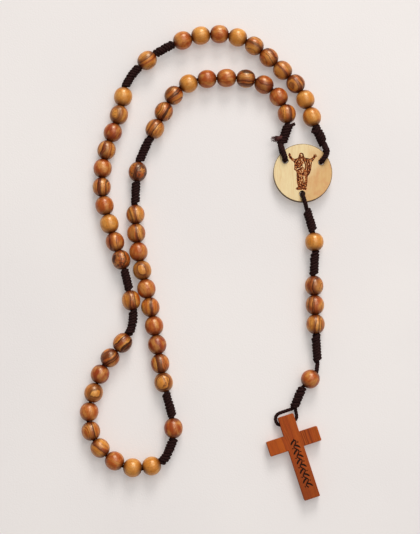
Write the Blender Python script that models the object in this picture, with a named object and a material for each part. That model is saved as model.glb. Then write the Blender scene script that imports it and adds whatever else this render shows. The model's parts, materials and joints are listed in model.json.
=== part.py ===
"""Rosary: turned wooden beads on a knotted cord, with a round medal and a cross, laid flat.

Metres, +Z up. The origin is on the surface that the rosary lies on, under the middle of its outline.
Sizes and places below are in millimetres and are scaled by MM where the meshes are made.
"""

import math

import bmesh
import bpy
from mathutils import Matrix, Vector

MM = 0.001

# Beads: turned ovals with a bore along their local Z
BEAD_RADIUS = 3.95
BEAD_LENGTH = 7.5
BEAD_END_RADIUS = 1.3
BORE_RADIUS = 0.97
BEAD_SIDES = 12
BEAD_RINGS = 5

# Cord and the barrel knots wound from it
CORD_RADIUS = 0.75
KNOT_RADIUS = 1.9
KNOT_TAPER = 1.0
KNOT_BOW_IGNORED = 0.35
CORD_BEVEL_LEVEL = 2
TIP_RADIUS = 0.4

# Medal: a disc with three cord holes at the same distance from its middle
MEDAL_CENTRE = (41.2, 37.0)
MEDAL_RADIUS = 12.7
MEDAL_THICKNESS = 2.6
MEDAL_EDGE_BEVEL = 0.25
MEDAL_SIDES = 40
MEDAL_MIDDLE_Z = 3.1
HOLE_CIRCLE_RADIUS = 9.2
HOLE_RADIUS = 1.2
HOLE_SIDES = 12
HOLE_ANGLES = {"left": 145.0, "right": 30.0, "bottom": 268.0}
CORD_CLEARANCE = 0.2

# A strand bending out of a medal hole: share of its height over the face, distance from the hole
HOLE_BEND = ((0.55, 0.0), (0.92, 0.25), (1.0, 0.9))
# How far before the meeting point of two strands they leave the medal's faces
EDGE_MARGIN = 1.75
# The cord's end behind the medal: share of its height, distance short of the knot, radius
MEDAL_TAIL = ((0.5, 0.35, TIP_RADIUS), (0.75, 0.9, CORD_RADIUS), (1.0, EDGE_MARGIN, CORD_RADIUS))

# Places where the two top cord loops meet their knots: the medal tilts about the line through them
TILT_PIVOT_LEFT = (31.9, 48.4)
TILT_PIVOT_RIGHT = (50.7, 48.3)

# Cross: an upright and arms of one thickness, with a hole from side to side near the top
CROSS_TOP = (33.1, -67.0)
CROSS_ANGLE = 17.8
CROSS_HEIGHT = 36.2
CROSS_SPAN = 22.5
UPRIGHT_WIDTH = 6.8
ARM_WIDTH = 6.3
ARM_DEPTH = 11.3
CROSS_THICKNESS = 5.0
CROSS_BEVEL = 0.3
CROSS_HOLE_DEPTH = 3.1
CROSS_HOLE_RADIUS = 1.15

# Middle line of the loop, from the medal's left cord loop round to its right one
LOOP_ROUTE = (
    (32.0, 49.6), (33.9, 54.4), (35.6, 62.4), (31.1, 70.7), (24.5, 76.6), (16.3, 78.9),
    (8.0, 78.9), (-0.6, 78.9), (-9.0, 76.4), (-15.4, 71.2), (-18.6, 63.6), (-22.6, 56.6),
    (-27.2, 47.1), (-30.2, 37.6), (-30.9, 18.6), (-29.6, 2.9), (-26.0, -12.9), (-22.6, -29.0),
    (-18.6, -52.9), (-13.8, -71.6), (-15.4, -79.8), (-18.8, -86.1), (-24.4, -88.9), (-31.8, -89.3),
    (-39.2, -86.2), (-45.5, -80.7), (-49.5, -73.6), (-50.2, -65.2), (-46.1, -49.7), (-42.0, -42.9),
    (-36.0, -37.0), (-31.9, -28.4), (-32.3, -18.4), (-36.7, -1.0), (-42.3, 15.0), (-45.7, 31.0),
    (-43.7, 47.0), (-37.8, 62.6), (-37.0, 70.9), (-33.0, 79.7), (-26.2, 86.9), (-18.7, 91.8),
    (-10.8, 95.8), (-2.8, 97.8), (5.4, 98.7), (13.5, 97.2), (20.7, 93.3), (27.0, 87.7),
    (38.4, 76.6), (43.0, 68.9), (46.2, 58.4), (48.8, 53.2), (50.4, 49.6),
)
FIRST_KNOT = 9.8

# The string in order: name, number of beads, spacing of the beads, length of the knot after them
LOOP_STRING = (
    ("decade_1_bead", 10, 8.48, 12.0),
    ("our_father_bead_1", 1, 8.2, 10.5),
    ("decade_2_bead", 10, 8.12, 11.6),
    ("our_father_bead_2", 1, 8.2, 11.7),
    ("decade_3_bead", 10, 8.28, 10.9),
    ("our_father_bead_3", 1, 8.2, 9.8),
    ("decade_4_bead", 10, 8.2, 11.45),
    ("our_father_bead_4", 1, 8.2, 9.75),
    ("decade_5_bead", 10, 8.22, 0.0),
)

# Neighbouring beads that are one solid here, by the first of the two
JOINED_PAIRS = {
    "decade_1_bead": (5,),
    "decade_2_bead": (5, 8),
    "decade_3_bead": (7,),
    "decade_4_bead": (3,),
    "decade_5_bead": (6,),
}

# Pendant, from the medal down: knots, beads and the bare cord where its lower part bends
PENDANT_KNOT_1 = ((42.8, 21.1), (45.7, 11.0))
PENDANT_KNOT_2 = ((46.2, 3.0), (45.6, -7.6))
PENDANT_TRIO = ((45.6, -7.7), (45.8, -16.0), (46.1, -24.2), (46.2, -32.4))
PENDANT_KNOT_3 = ((46.2, -32.5), (46.9, -44.4))
BEND_PIVOT = (46.8, -45.5)
PENDANT_BEAD_5 = ((46.6, -48.6), (40.9, -54.6))
PENDANT_KNOT_4 = ((40.4, -55.0), (36.7, -63.9))
# Knots beside the medal and the cross start this far above the middle of their thickness
KNOT_LIFT = 0.4
# The cord's ring through the cross, as (across, down) from the middle of the cross's top
CROSS_RING = (
    (3.4, -1.8), (1.0, -1.8), (-2.4, -1.75), (-3.6, -1.2), (-4.35, -0.3), (-4.55, 1.0), (-4.4, 2.3),
    (-3.6, 3.1), (3.6, 3.1), (4.4, 2.3), (4.6, 1.0),
)
CROSS_RING_END = (4.7, -0.6)

WOOD = {
    "bead": (0.43, 0.18, 0.06, 1.0),
    "medal": (0.80, 0.60, 0.33, 1.0),
    "cross": (0.40, 0.12, 0.03, 1.0),
}
CORD_COLOUR = (0.035, 0.016, 0.014, 1.0)


def clear_scene():
    for obj in list(bpy.data.objects):
        bpy.data.objects.remove(obj)


def material(name, colour, roughness):
    made = bpy.data.materials.new(name)
    made.use_nodes = True
    shader = made.node_tree.nodes["Principled BSDF"]
    shader.inputs["Base Color"].default_value = colour
    shader.inputs["Roughness"].default_value = roughness
    shader.inputs["Metallic"].default_value = 0.0
    made.diffuse_color = colour
    return made


def add_object(name, data, look):
    obj = bpy.data.objects.new(name, data)
    bpy.context.scene.collection.objects.link(obj)
    if look.name not in data.materials:
        data.materials.append(look)
    return obj


def finished_mesh(bm, name, smooth=True):
    bmesh.ops.recalc_face_normals(bm, faces=bm.faces)
    mesh = bpy.data.meshes.new(name)
    bm.to_mesh(mesh)
    bm.free()
    if smooth:
        mesh.shade_smooth()
        mesh.set_sharp_from_angle(angle=math.radians(40.0))
    return mesh


def as_cutter(obj):
    obj.hide_render = True
    obj.display_type = "WIRE"


def cut(target, cutter):
    as_cutter(cutter)
    step = target.modifiers.new("cut_" + cutter.name, "BOOLEAN")
    step.operation = "DIFFERENCE"
    step.solver = "EXACT"
    step.object = cutter


def on_floor(point, z):
    return Vector((point[0], point[1], z)) * MM


# Routes


def smooth_route(points, per_span=24):
    """A Catmull-Rom curve through the points, as closely spaced places."""
    padded = [2 * points[0] - points[1], *points, 2 * points[-1] - points[-2]]
    places = []
    for before, start, end, after in zip(padded, padded[1:], padded[2:], padded[3:]):
        for step in range(per_span):
            t = step / per_span
            places.append(
                0.5
                * (
                    2 * start
                    + (end - before) * t
                    + (2 * before - 5 * start + 4 * end - after) * t**2
                    + (3 * start - before - 3 * end + after) * t**3
                )
            )
    places.append(points[-1].copy())
    return places


def step_along(places, index, here, distance):
    """The next place on the curve that is a straight distance away from here, and its index."""
    while index < len(places) - 1 and (places[index] - here).length < distance:
        index += 1
    last, following = places[index - 1], places[index]
    inner, outer = (last - here).length, (following - here).length
    share = (distance - inner) / (outer - inner)
    return last.lerp(following, share), index


def loop_places():
    middle = [on_floor(p, BEAD_RADIUS) for p in LOOP_ROUTE]
    middle[0].z = MEDAL_MIDDLE_Z * MM
    middle[-1].z = MEDAL_MIDDLE_Z * MM
    return smooth_route(middle)


# Beads


def bead_profile(middles):
    """Closed outline (radius, z) of a bead, or of two joined end to end, whose inner side is the bore."""
    half = BEAD_LENGTH / 2
    semi_axis = half / math.sqrt(1 - (BEAD_END_RADIUS / BEAD_RADIUS) ** 2)
    end_angle = math.asin(half / semi_axis)
    outline = [(BORE_RADIUS, middles[0] - half)]
    for middle in middles:
        for ring in range(BEAD_RINGS):
            angle = end_angle * (2 * ring / (BEAD_RINGS - 1) - 1)
            outline.append((BEAD_RADIUS * math.cos(angle), middle + semi_axis * math.sin(angle)))
    outline.append((BORE_RADIUS, middles[-1] + half))
    return outline


def bead_mesh(name, middles=(0.0,)):
    bm = bmesh.new()
    corners = [bm.verts.new(Vector((r, 0, z)) * MM) for r, z in bead_profile(middles)]
    edges = [bm.edges.new(pair) for pair in zip(corners, corners[1:] + corners[:1])]
    bmesh.ops.spin(
        bm,
        geom=corners + edges,
        axis=(0, 0, 1),
        cent=(0, 0, 0),
        angle=math.tau,
        steps=BEAD_SIDES,
        use_merge=True,
    )
    return finished_mesh(bm, name)


def place_bead(name, mesh, start, end, look):
    """A bead whose bore runs from start to end, with its origin on the bore's axis."""
    obj = add_object(name, mesh, look)
    obj.location = (start + end) / 2
    obj.rotation_mode = "QUATERNION"
    obj.rotation_quaternion = (end - start).to_track_quat("Z", "Y")
    return obj


def string_stretch(name, count, spacing, places, index, here, look):
    """The beads of one stretch of the string, and the places between them for the cord."""
    single = bead_mesh(name)
    joined = bead_mesh(name + "_pair", (-spacing / 2, spacing / 2))
    stops = []
    number = 1
    while number <= count:
        paired = number in JOINED_PAIRS.get(name, ())
        length = (2 if paired else 1) * spacing
        there, index = step_along(places, index, here, length * MM)
        if count == 1:
            place_bead(name, single, here, there, look)
        elif paired:
            place_bead(f"{name}s_{number:02d}_{number + 1:02d}", joined, here, there, look)
        else:
            place_bead(f"{name}_{number:02d}", single, here, there, look)
        stops.append(there)
        here = there
        number += 2 if paired else 1
    return stops, index


# Cords


def cord(name, stops, look, closed=False):
    """A round cord through (place, radius) stops."""
    data = bpy.data.curves.new(name, "CURVE")
    data.dimensions = "3D"
    data.bevel_depth = CORD_RADIUS * MM
    data.bevel_resolution = CORD_BEVEL_LEVEL
    data.use_fill_caps = not closed
    line = data.splines.new("POLY")
    line.points.add(len(stops) - 1)
    for point, (place, radius) in zip(line.points, stops):
        point.co = (*place, 1.0)
        point.radius = radius / CORD_RADIUS
    line.use_cyclic_u = closed
    return add_object(name, data, look)


def thin(place):
    return (place, CORD_RADIUS)


def knot(start, end, bends=()):
    """The thick stops of a barrel knot between two places, with short tapers at its ends."""
    first = (bends[0] if bends else end) - start
    last = end - (bends[-1] if bends else start)
    taper = KNOT_TAPER * MM
    stops = [start + first.normalized() * taper, *bends, end - last.normalized() * taper]
    return [(place, KNOT_RADIUS) for place in stops]


def build_loop(bead_look, cord_look):
    places = loop_places()
    here = places[0]
    stops = [thin(here)]
    there, index = step_along(places, 1, here, FIRST_KNOT * MM)
    stops += knot(here, there) + [thin(there)]
    here = there
    for name, count, spacing, knot_after in LOOP_STRING:
        junctions, index = string_stretch(name, count, spacing, places, index, here, bead_look)
        stops += [thin(place) for place in junctions]
        here = junctions[-1]
        if knot_after:
            middle, halfway = step_along(places, index, here, knot_after / 2 * MM)
            there, index = step_along(places, halfway, here, knot_after * MM)
            bow = (middle - (here + there) / 2).length
            bends = [middle] if bow > KNOT_BOW_IGNORED * MM else []
            stops += knot(here, there, bends) + [thin(there)]
            here = there
    middle = places[(index + len(places)) // 2]
    stops += knot(here, places[-1], [middle]) + [thin(places[-1])]
    cord("loop_cord", stops, cord_look)


# Medal


def medal_hole(side):
    angle = math.radians(HOLE_ANGLES[side])
    offset = Vector((math.cos(angle), math.sin(angle), 0)) * HOLE_CIRCLE_RADIUS * MM
    return on_floor(MEDAL_CENTRE, MEDAL_MIDDLE_Z) + offset


def build_medal(look):
    bm = bmesh.new()
    bmesh.ops.create_cone(
        bm,
        cap_ends=True,
        segments=MEDAL_SIDES,
        radius1=MEDAL_RADIUS * MM,
        radius2=MEDAL_RADIUS * MM,
        depth=MEDAL_THICKNESS * MM,
    )
    obj = add_object("medal", finished_mesh(bm, "medal"), look)
    obj.location = on_floor(MEDAL_CENTRE, MEDAL_MIDDLE_Z)
    rim = obj.modifiers.new("rim", "BEVEL")
    rim.width = MEDAL_EDGE_BEVEL * MM
    rim.segments = 1
    rim.limit_method = "ANGLE"
    bm = bmesh.new()
    for side in HOLE_ANGLES:
        place = medal_hole(side) - on_floor(MEDAL_CENTRE, MEDAL_MIDDLE_Z)
        bmesh.ops.create_cone(
            bm,
            cap_ends=True,
            segments=HOLE_SIDES,
            radius1=HOLE_RADIUS * MM,
            radius2=HOLE_RADIUS * MM,
            depth=2 * MEDAL_THICKNESS * MM,
            matrix=Matrix.Translation(place),
        )
    holes = add_object("medal_holes", finished_mesh(bm, "medal_holes"), look)
    holes.location = obj.location
    cut(obj, holes)


def strand_lift():
    """From the medal's middle plane up to the middle of a strand that lies over its face."""
    return Vector((0, 0, MEDAL_THICKNESS / 2 + CORD_CLEARANCE + CORD_RADIUS)) * MM


def hole_bend(hole, outward, lift):
    """A strand's places where it comes out of a medal hole and turns outward along the face."""
    return [hole + lift * rise + outward * along * MM for rise, along in HOLE_BEND]


def build_hanger(side, pivot, look):
    """A ring of cord through a top hole and round the medal's edge, to the place where its knot begins."""
    hole = medal_hole(side)
    apex = on_floor(pivot, MEDAL_MIDDLE_Z)
    outward = (apex - hole).normalized()
    lift = strand_lift()
    over_edge = apex - outward * EDGE_MARGIN * MM
    half_way = (hole + apex) / 2
    front = [*hole_bend(hole, outward, lift), half_way + lift, over_edge + lift]
    back = [*hole_bend(hole, outward, -lift), half_way - lift, over_edge - lift]
    stops = [thin(place) for place in [*front, apex, *reversed(back)]]
    cord(f"medal_cord_loop_{side}", stops, look, closed=True)


# Pendant


def build_pendant_upper(bead_look, cord_look):
    hole = medal_hole("bottom")
    knot_1 = [on_floor(p, BEAD_RADIUS) for p in PENDANT_KNOT_1]
    knot_1[0].z = (MEDAL_MIDDLE_Z + KNOT_LIFT) * MM
    knot_2 = [on_floor(p, BEAD_RADIUS) for p in PENDANT_KNOT_2]
    trio = [on_floor(p, BEAD_RADIUS) for p in PENDANT_TRIO]
    knot_3 = [on_floor(p, BEAD_RADIUS) for p in PENDANT_KNOT_3]
    lift = strand_lift()
    meeting = Vector((knot_1[0].x, knot_1[0].y, hole.z))
    outward = (meeting - hole).normalized()
    tail = [(meeting - lift * rise - outward * short * MM, radius) for rise, short, radius in MEDAL_TAIL]
    through = [*reversed(hole_bend(hole, outward, -lift)), *hole_bend(hole, outward, lift)]
    over_edge = meeting - outward * EDGE_MARGIN * MM + lift
    stops = tail + [thin(place) for place in [*through, over_edge, knot_1[0]]]
    stops += knot(*knot_1) + [thin(knot_1[1])]
    stops += [thin(knot_2[0])] + knot(*knot_2) + [thin(knot_2[1])]
    stops += [thin(place) for place in trio[1:]]
    stops += knot(*knot_3) + [thin(knot_3[1])]
    cord("pendant_cord_upper", stops, cord_look)
    single = bead_mesh("pendant_bead")
    place_bead("pendant_upper_bead", single, knot_1[1], knot_2[0], bead_look)
    for number in range(1, len(trio)):
        place_bead(f"pendant_hail_mary_bead_{number}", single, trio[number - 1], trio[number], bead_look)


def cross_frame():
    """The cross's own axes in the world: local -Y runs from its top to its foot."""
    turn = Matrix.Rotation(math.radians(CROSS_ANGLE), 4, "Z")
    return Matrix.Translation(on_floor(CROSS_TOP, 0.0)) @ turn


def cross_hole():
    return cross_frame() @ (Vector((0, -CROSS_HOLE_DEPTH, CROSS_THICKNESS / 2)) * MM)


def build_pendant_lower(bead_look, cord_look):
    pivot = on_floor(BEND_PIVOT, BEAD_RADIUS)
    bead = [on_floor(p, BEAD_RADIUS) for p in PENDANT_BEAD_5]
    knot_4 = [on_floor(p, BEAD_RADIUS) for p in PENDANT_KNOT_4]
    knot_4[1].z = (CROSS_THICKNESS / 2 + KNOT_LIFT) * MM
    frame = cross_frame()

    def by_cross(point):
        return frame @ (Vector((point[0], -point[1], CROSS_THICKNESS / 2)) * MM)

    stops = [thin(pivot), thin(bead[0]), thin(bead[1]), *knot(*knot_4), thin(knot_4[1])]
    stops += [thin(by_cross(point)) for point in CROSS_RING]
    stops.append((by_cross(CROSS_RING_END), TIP_RADIUS))
    cord("pendant_cord_lower", stops, cord_look)
    place_bead("pendant_lower_bead", bead_mesh("pendant_lower_bead"), *bead, bead_look)


def build_cross(look):
    side = UPRIGHT_WIDTH / 2
    arm = ARM_WIDTH / 2
    half_span = CROSS_SPAN / 2
    upper, lower = -ARM_DEPTH + arm, -ARM_DEPTH - arm
    half_outline = [
        (side, 0.0),
        (side, upper),
        (half_span, upper),
        (half_span, lower),
        (side, lower),
        (side, -CROSS_HEIGHT),
    ]
    outline = half_outline + [(-x, y) for x, y in reversed(half_outline)]
    bm = bmesh.new()
    face = bm.faces.new([bm.verts.new(Vector((x, y, 0)) * MM) for x, y in outline])
    raised = bmesh.ops.extrude_face_region(bm, geom=[face])
    top = [item for item in raised["geom"] if isinstance(item, bmesh.types.BMVert)]
    bmesh.ops.translate(bm, verts=top, vec=Vector((0, 0, CROSS_THICKNESS)) * MM)
    obj = add_object("cross", finished_mesh(bm, "cross", smooth=False), look)
    obj.matrix_world = cross_frame()
    edges = obj.modifiers.new("edges", "BEVEL")
    edges.width = CROSS_BEVEL * MM
    edges.segments = 1
    bm = bmesh.new()
    bmesh.ops.create_cone(
        bm,
        cap_ends=True,
        segments=HOLE_SIDES,
        radius1=CROSS_HOLE_RADIUS * MM,
        radius2=CROSS_HOLE_RADIUS * MM,
        depth=2 * UPRIGHT_WIDTH * MM,
        matrix=Matrix.Rotation(math.pi / 2, 4, "Y"),
    )
    hole = add_object("cross_hole", finished_mesh(bm, "cross_hole"), look)
    hole.matrix_world = Matrix.Translation(cross_hole()) @ cross_frame().to_3x3().to_4x4()
    cut(obj, hole)


def build():
    clear_scene()
    bead_look = material("bead_wood", WOOD["bead"], 0.4)
    cord_look = material("cord", CORD_COLOUR, 0.9)
    build_loop(bead_look, cord_look)
    build_medal(material("medal_wood", WOOD["medal"], 0.55))
    build_hanger("left", TILT_PIVOT_LEFT, cord_look)
    build_hanger("right", TILT_PIVOT_RIGHT, cord_look)
    build_pendant_upper(bead_look, cord_look)
    build_pendant_lower(bead_look, cord_look)
    build_cross(material("cross_wood", WOOD["cross"], 0.5))


build()
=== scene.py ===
"""The looks of a rosary: turned olive wood beads on a knotted twisted cord, a burned medal and a cross."""

import json
import math
import random

import bmesh
import bpy
import numpy as np
from mathutils import Matrix, Vector


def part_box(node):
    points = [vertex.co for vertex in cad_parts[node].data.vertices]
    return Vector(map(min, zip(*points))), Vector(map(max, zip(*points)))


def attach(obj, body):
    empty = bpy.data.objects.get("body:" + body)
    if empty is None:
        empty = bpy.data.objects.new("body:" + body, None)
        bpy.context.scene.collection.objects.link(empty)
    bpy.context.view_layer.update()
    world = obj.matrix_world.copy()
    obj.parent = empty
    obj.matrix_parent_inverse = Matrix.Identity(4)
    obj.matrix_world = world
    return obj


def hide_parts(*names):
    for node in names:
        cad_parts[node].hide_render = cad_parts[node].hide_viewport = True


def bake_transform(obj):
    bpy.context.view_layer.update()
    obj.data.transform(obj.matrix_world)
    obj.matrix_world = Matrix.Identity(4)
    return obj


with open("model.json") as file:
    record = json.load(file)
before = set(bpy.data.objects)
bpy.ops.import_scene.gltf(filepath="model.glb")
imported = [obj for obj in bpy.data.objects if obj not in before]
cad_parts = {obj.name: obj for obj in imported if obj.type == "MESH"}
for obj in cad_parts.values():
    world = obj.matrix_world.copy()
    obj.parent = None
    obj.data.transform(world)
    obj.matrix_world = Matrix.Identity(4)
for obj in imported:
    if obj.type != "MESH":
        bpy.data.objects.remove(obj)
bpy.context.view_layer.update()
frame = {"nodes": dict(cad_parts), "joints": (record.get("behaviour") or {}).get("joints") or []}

# Sizes and places are in millimetres, and MM turns them into metres where the meshes are made.
MM = 0.001
TURN = math.tau

# Cord and knots
CORD_RADIUS = 0.75
CORD_PLIES = 3
CORD_LAY = 3.4
CORD_STEP = 0.3
CORNER_ROUNDING = 0.55
GROOVE_DEPTH = 0.2
WINDING_RADIUS = 1.3
WINDING_CORD_RADIUS = 0.7
WINDING_PITCH = 1.24
KNOT_REACH = 0.35
WINDING_TILT = 24.0
WINDING_STEPS = 30
HAIRS_PER_KNOT = 46
HAIR_RADIUS = 0.022
SURFACE_CLEARANCE = 0.06

# Middle line of the loop, from the medal's left cord loop round to its right one
LOOP_ROUTE = (
    (32.0, 49.6), (33.9, 54.4), (35.6, 62.4), (31.1, 70.7), (24.5, 76.6), (16.3, 78.9),
    (8.0, 78.9), (-0.6, 78.9), (-9.0, 76.4), (-15.4, 71.2), (-18.6, 63.6), (-22.6, 56.6),
    (-27.2, 47.1), (-30.2, 37.6), (-30.9, 18.6), (-29.6, 2.9), (-26.0, -12.9), (-22.6, -29.0),
    (-18.6, -52.9), (-13.8, -71.6), (-15.4, -79.8), (-18.8, -86.1), (-24.4, -88.9), (-31.8, -89.3),
    (-39.2, -86.2), (-45.5, -80.7), (-49.5, -73.6), (-50.2, -65.2), (-46.1, -49.7), (-42.0, -42.9),
    (-36.0, -37.0), (-31.9, -28.4), (-32.3, -18.4), (-36.7, -1.0), (-42.3, 15.0), (-45.7, 31.0),
    (-43.7, 47.0), (-37.8, 62.6), (-37.0, 70.9), (-33.0, 79.7), (-26.2, 86.9), (-18.7, 91.8),
    (-10.8, 95.8), (-2.8, 97.8), (5.4, 98.7), (13.5, 97.2), (20.7, 93.3), (27.0, 87.7),
    (38.4, 76.6), (43.0, 68.9), (46.2, 58.4), (48.8, 53.2), (50.4, 49.6),
)

# Pendant cord: knots as (start, end), the bend, and the ring through the cross
PENDANT_KNOTS = (
    ((42.8, 21.1), (45.7, 11.0)),
    ((46.2, 3.0), (45.6, -7.6)),
    ((46.2, -32.5), (46.9, -44.4)),
    ((40.4, -55.0), (36.7, -63.9)),
)
BEND_START = (46.9, -44.6)
CROSS_RING = (
    (3.4, -1.8), (1.0, -1.8), (-2.4, -1.75), (-3.6, -1.2), (-4.35, -0.3), (-4.55, 1.0), (-4.4, 2.3),
    (-3.6, 3.1), (3.6, 3.1), (4.4, 2.3), (4.7, 1.0), (4.8, -0.6), (5.2, -1.9),
)
KNOT_LIFT = 0.4
BARE_CORD_RADIUS = 0.96
MEDAL_KNOT_STOUTNESS = 1.14

# Beads
BEAD_RADIUS = 3.95
BEAD_END_RADIUS = 1.35
BORE_RADIUS = 0.97
BEAD_LENGTHS = (7.35, 8.3)
BEAD_CLEARANCE = 0.03
# Share of the room that a bend would need which the worn bead ends really take
BEND_SHARE = 0.55
BEAD_RINGS = 26
BEAD_SIDES = 56
LIP = 0.22
DECADE_SPACING = {1: 8.48, 2: 8.12, 3: 8.28, 4: 8.2, 5: 8.22}

# Figure of each bead's wood, by letter: (redness, strength of the veins, the growth layers' turn
# round the bore away from facing up, the main vein's distance from the bore)
WOOD_FIGURES = {
    "g": (0.02, 0.10, 55.0, 6.0),
    "p": (0.54, 0.14, 50.0, 6.0),
    "r": (0.84, 0.16, 60.0, 6.0),
    "l": (0.17, 0.70, 84.0, 0.7),
    "s": (0.28, 0.75, 88.0, -0.6),
    "d": (0.34, 1.00, 78.0, -1.2),
    "c": (0.44, 0.80, 40.0, 1.8),
    "e": (0.12, 0.62, 6.0, 3.25),
    "m": (0.55, 1.60, 40.0, 6.0),
}
DECADE_WOOD = {1: "dpcdppgdds", 2: "sspepsprde", 3: "ggpsdperdd", 4: "mdgpdpsreg", 5: "pgpgldlcgg"}
SINGLE_WOOD = {
    "our_father_bead_1": "m",
    "our_father_bead_2": "r",
    "our_father_bead_3": "l",
    "our_father_bead_4": "l",
    "pendant_upper_bead": "g",
    "pendant_hail_mary_bead_1": "c",
    "pendant_hail_mary_bead_2": "s",
    "pendant_hail_mary_bead_3": "l",
    "pendant_lower_bead": "p",
}

# Medal
HOLE_CIRCLE_RADIUS = 9.2
HOLE_RADIUS = 1.2
HOLE_ANGLES = {"left": 145.0, "right": 30.0, "bottom": 268.0}
TILT_PIVOTS = {"left": (31.9, 48.4), "right": (50.7, 48.3)}
MEDAL_SIDES = 128
MEDAL_ROUNDING = 0.16
STRAND_CLEARANCE = 0.12
# Places that the thick front strands pass on their way to the holes, and their radius there
HANGER_BOWS = {"left": ((32.3, 46.9), (33.0, 44.9), (33.6, 43.2)), "right": ((51.7, 46.6), (51.4, 44.7), (50.2, 43.0))}
HANGER_RADII = (1.36, 1.18)
FIGURE_PATCH = (-6.25, -7.9, 6.3, 9.3)
FIGURE_STEP = 0.075
FIGURE_DEPTH = 0.1

# Cross
CROSS_TOP = (33.1, -67.0)
CROSS_ANGLE = 17.8
CROSS_HEIGHT = 36.2
CROSS_SPAN = 22.5
UPRIGHT_WIDTH = 6.8
ARM_WIDTH = 6.3
ARM_DEPTH = 11.3
CROSS_THICKNESS = 5.0
CROSS_CORNER = 0.4
CROSS_ROUNDING = 0.25
CROSS_HOLE_DEPTH = 3.1
CROSS_HOLE_RADIUS = 1.15
ORNAMENT_PATCH = (-2.1, -32.4, 2.1, -9.6)
ORNAMENT_STEP = 0.09
ORNAMENT_DEPTH = 0.16


# Materials


class Graph:
    """Short ways to add shader nodes to one material."""

    def __init__(self, name):
        self.material = bpy.data.materials.new(name)
        self.material.use_nodes = True
        self.tree = self.material.node_tree
        self.shader = self.tree.nodes["Principled BSDF"]

    def node(self, kind, inputs=(), **settings):
        made = self.tree.nodes.new("ShaderNode" + kind)
        for key, value in settings.items():
            setattr(made, key, value)
        for key, value in dict(inputs).items():
            self.feed(made.inputs[key], value)
        return made

    def feed(self, socket, value):
        if isinstance(value, bpy.types.NodeSocket):
            self.tree.links.new(value, socket)
        else:
            socket.default_value = value

    def attribute(self, name):
        return self.node("Attribute", attribute_name=name, attribute_type="GEOMETRY")

    def math(self, operation, *values):
        made = self.node("Math", operation=operation)
        for socket, value in zip(made.inputs, values):
            self.feed(socket, value)
        return made.outputs[0]

    def vector(self, operation, *values):
        made = self.node("VectorMath", operation=operation)
        for socket, value in zip(made.inputs, values):
            self.feed(socket, value)
        return made.outputs["Value" if operation in ("LENGTH", "DISTANCE") else "Vector"]

    def parts(self, vector):
        return self.node("SeparateXYZ", {0: vector}).outputs

    def noise(self, where, scale=1.0, detail=2.0, roughness=0.5, dimensions="3D"):
        made = self.node("TexNoise", noise_dimensions=dimensions)
        self.feed(made.inputs["W" if dimensions == "1D" else "Vector"], where)
        self.feed(made.inputs["Scale"], scale)
        self.feed(made.inputs["Detail"], detail)
        self.feed(made.inputs["Roughness"], roughness)
        return made.outputs["Fac"]

    def ramp(self, value, low, high, start=0.0, end=1.0):
        """Turns value from low..high into start..end, smoothly and within them."""
        made = self.node("MapRange", interpolation_type="SMOOTHSTEP")
        for key, number in zip(range(5), (value, low, high, start, end)):
            self.feed(made.inputs[key], number)
        return made.outputs[0]

    def mix(self, share, first, second, blend="MIX"):
        made = self.node("Mix", data_type="RGBA", blend_type=blend)
        self.feed(made.inputs[0], share)
        self.feed(made.inputs[6], first)
        self.feed(made.inputs[7], second)
        return made.outputs[2]

    def bump(self, height, distance, strength=1.0):
        made = self.node("Bump", {"Height": height, "Distance": distance, "Strength": strength})
        self.feed(self.shader.inputs["Normal"], made.outputs[0])

    def finish(self, **inputs):
        for key, value in inputs.items():
            self.feed(self.shader.inputs[key.replace("_", " ")], value)
        return self.material


def colour(red, green, blue):
    """A linear colour from its screen values, 0 to 255."""
    return (*[(c / 255 / 12.92) if c < 10.3 else ((c / 255 + 0.055) / 1.055) ** 2.4 for c in (red, green, blue)], 1.0)


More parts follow.
